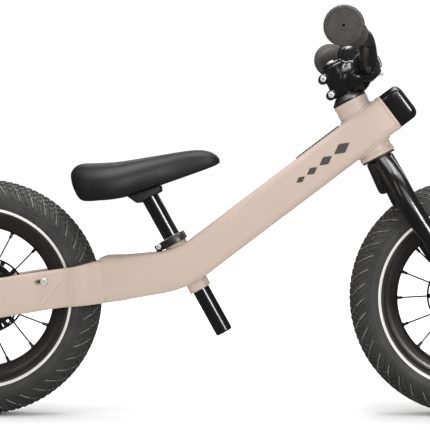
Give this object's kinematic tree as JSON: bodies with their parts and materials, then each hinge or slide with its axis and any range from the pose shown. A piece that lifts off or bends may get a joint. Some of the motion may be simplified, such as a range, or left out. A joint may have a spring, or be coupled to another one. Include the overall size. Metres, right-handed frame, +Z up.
{
  "type": "balance bike",
  "caption": "Child's pedal-free balance bike: bent box-beam frame, raked fork, riser handlebar, padded saddle on a sliding post and spoked pneumatic wheels.",
  "frame": {"origin": "on the ground midway between the two wheel axles, in the bike's middle plane", "axes": "+X towards the front wheel, +Y to the rider's left, +Z up"},
  "size_m": [0.924, 0.4388, 0.499],
  "materials": {
    "frame_paint": "semi-gloss",
    "gloss_black": "gloss",
    "black_cap": "gloss",
    "satin_black": "satin",
    "seal_rubber": "matte",
    "black_plastic": "matte",
    "saddle_skin": "satin",
    "grip_rubber": "matte",
    "tyre": "matte",
    "inner_tube": "matte",
    "rim": "satin black",
    "hub": "satin black",
    "steel": "brushed",
    "zinc_bolt": "polished",
    "black_bolt": "satin"
  },
  "bodies": {
    "frame": {"main_beam": "frame_paint", "head_tube": "frame_paint", "headset_bearing_lower": "steel", "headset_bearing_upper": "steel", "seat_tube": "frame_paint", "seat_collar": "satin_black", "seat_collar_bolt": "zinc_bolt", "rear_yoke": "frame_paint", "right_stay": "frame_paint", "left_stay": "frame_paint", "right_stay_plug": "zinc_bolt", "left_stay_plug": "zinc_bolt", "front_cap": "black_cap", "beam_top_strip": "seal_rubber", "rear_axle": "steel", "rear_axle_bolt_right": "black_bolt", "rear_axle_bolt_left": "black_bolt"},
    "steering": {"fork_steerer": "gloss_black", "lower_seal": "seal_rubber", "fork_leg_right": "gloss_black", "fork_leg_left": "gloss_black", "fork_dropout_right": "gloss_black", "fork_dropout_left": "gloss_black", "front_axle": "steel", "front_axle_bolt_right": "black_bolt", "front_axle_bolt_left": "black_bolt", "stem": "gloss_black", "stem_bolt_upper": "zinc_bolt", "stem_bolt_lower": "zinc_bolt", "stem_faceplate": "gloss_black", "faceplate_bolt_upper": "zinc_bolt", "faceplate_bolt_lower": "zinc_bolt", "top_cap": "gloss_black", "top_cap_bolt": "zinc_bolt", "headset_cover": "satin_black"},
    "bar": {"handlebar": "gloss_black", "grip_right": "grip_rubber", "grip_left": "grip_rubber"},
    "seat": {"seat_post": "gloss_black", "seat_post_plug": "black_plastic", "saddle_bracket": "black_plastic", "saddle_base": "black_plastic", "saddle_pad": "saddle_skin"},
    "front_wheel": {"front_tyre": "tyre", "front_inner_tube": "inner_tube", "front_rim": "rim", "front_hub_and_spokes": "hub", "front_bearing_right": "steel", "front_bearing_left": "steel"},
    "rear_wheel": {"rear_tyre": "tyre", "rear_inner_tube": "inner_tube", "rear_rim": "rim", "rear_hub_and_spokes": "hub", "rear_bearing_right": "steel", "rear_bearing_left": "steel"}
  },
  "joints": [
    {"name": "steering", "type": "hinge", "parent": "frame", "child": "steering", "pos_m": [0.19656, 0, 0.33216], "axis": [-0.454, 0, 0.891], "continuous": true},
    {"name": "bar_angle", "type": "hinge", "parent": "steering", "child": "bar", "pos_m": [0.18138, 0, 0.44721], "axis": [0, 1, 0], "range_deg": [-15, 15]},
    {"name": "seat_height", "type": "slide", "parent": "frame", "child": "seat", "axis": [-0.4848, 0, 0.8746], "range_m": [-0.045, 0.06]},
    {"name": "front_wheel_spin", "type": "hinge", "parent": "steering", "child": "front_wheel", "pos_m": [0.3105, 0, 0.1515], "axis": [0, 1, 0], "continuous": true},
    {"name": "rear_wheel_spin", "type": "hinge", "parent": "frame", "child": "rear_wheel", "pos_m": [-0.3105, 0, 0.1515], "axis": [0, 1, 0], "continuous": true}
  ]
}
